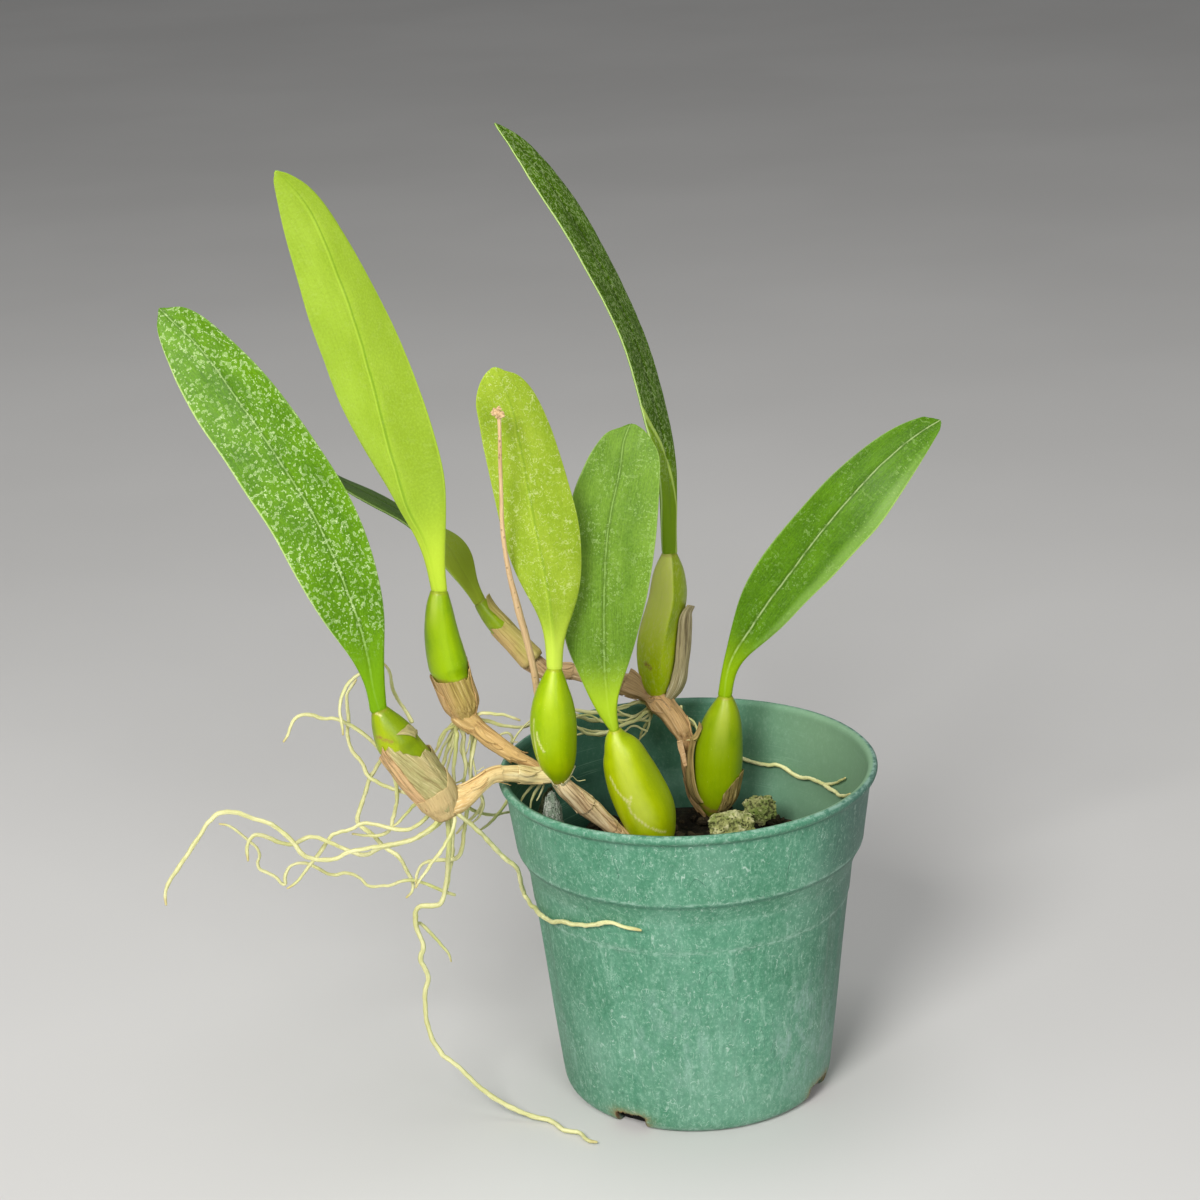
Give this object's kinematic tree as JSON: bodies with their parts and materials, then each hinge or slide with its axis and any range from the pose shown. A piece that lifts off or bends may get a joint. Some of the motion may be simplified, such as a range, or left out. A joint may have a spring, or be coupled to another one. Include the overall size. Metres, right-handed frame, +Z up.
{
  "type": "potted bulbophyllum orchid",
  "caption": "Round green nursery pot with a creeping orchid: leafy pseudobulbs on a rhizome that has grown over the lip, with wiry aerial roots hanging beside the pot.",
  "frame": {"origin": "centre of the pot's flat underside, on the surface the pot stands on", "axes": "+Z up along the pot's axis; +X to the viewer's right and +Y away from the viewer as pictured, so the plant spills over the -X side of the lip"},
  "size_m": [0.2088, 0.102, 0.2623],
  "materials": {
    "pot_plastic": "scuffed matte, with pale mineral marks",
    "bark": "damp, crumbly",
    "grey_bark": "weathered, mossy",
    "pumice": "porous, with a green film",
    "dry_sheath": "dry, papery, fine lengthwise lines",
    "rhizome": "dry papery scales",
    "dry_stalk": "dry, wiry",
    "root": "dry, wiry",
    "leaf_a": "leathery, satin, pale specks",
    "leaf_b": "leathery, satin, pale specks",
    "leaf_c": "leathery, satin, pale specks",
    "leaf_d": "leathery, satin, pale specks",
    "leaf_e": "leathery, satin, pale specks",
    "leaf_f": "leathery, satin, pale specks",
    "leaf_g": "leathery, satin, pale specks",
    "pseudobulb_a": "smooth, satin to glossy",
    "pseudobulb_b": "smooth, satin to glossy",
    "pseudobulb_c": "smooth, satin to glossy",
    "pseudobulb_d": "smooth, satin to glossy",
    "pseudobulb_e": "smooth, satin to glossy",
    "pseudobulb_f": "smooth, satin to glossy",
    "pseudobulb_g": "smooth, satin to glossy"
  },
  "bodies": {
    "root": {"bark_chip_left": "bark", "bark_chip_middle": "bark", "bark_chip_right": "bark", "flower_stalk": "dry_stalk", "grey_bark_chunk_left": "grey_bark", "grey_bark_chunk_right": "grey_bark", "leaf_a": "leaf_a", "leaf_b": "leaf_b", "leaf_c": "leaf_c", "leaf_d": "leaf_d", "leaf_e": "leaf_e", "leaf_f": "leaf_f", "leaf_g": "leaf_g", "pot": "pot_plastic", "potting_medium": "bark", "pseudobulb_a": "pseudobulb_a", "pseudobulb_b": "pseudobulb_b", "pseudobulb_c": "pseudobulb_c", "pseudobulb_d": "pseudobulb_d", "pseudobulb_e": "pseudobulb_e", "pseudobulb_f": "pseudobulb_f", "pseudobulb_g": "pseudobulb_g", "pumice_stone_front": "pumice", "pumice_stone_rear": "pumice", "rhizome_a_d": "rhizome", "rhizome_b_d": "rhizome", "rhizome_c_f": "rhizome", "rhizome_d_e": "rhizome", "rhizome_f_g": "rhizome", "root_a_behind_leaf": "root", "root_a_behind_sheath": "root", "root_a_bent": "root", "root_a_beside_leaf": "root", "root_a_far_left": "root", "root_a_forked": "root", "root_a_front": "root", "root_a_left_hook": "root", "root_a_left_upper": "root", "root_a_side_hook": "root", "root_a_straight": "root", "root_a_swing": "root", "root_a_thin_loop": "root", "root_b_cross_left": "root", "root_b_cross_right": "root", "root_b_long": "root", "root_b_loop": "root", "root_b_right_lower": "root", "root_b_right_upper": "root", "root_f_right": "root", "root_on_inner_wall": "root", "root_on_pot": "root", "root_to_ground": "root", "roots_b_bundle": "root", "roots_f_bundle": "root", "sheath_a": "dry_sheath", "sheath_b": "dry_sheath", "sheath_c": "dry_sheath", "sheath_f": "dry_sheath", "sheath_g": "dry_sheath"}
  },
  "joints": []
}
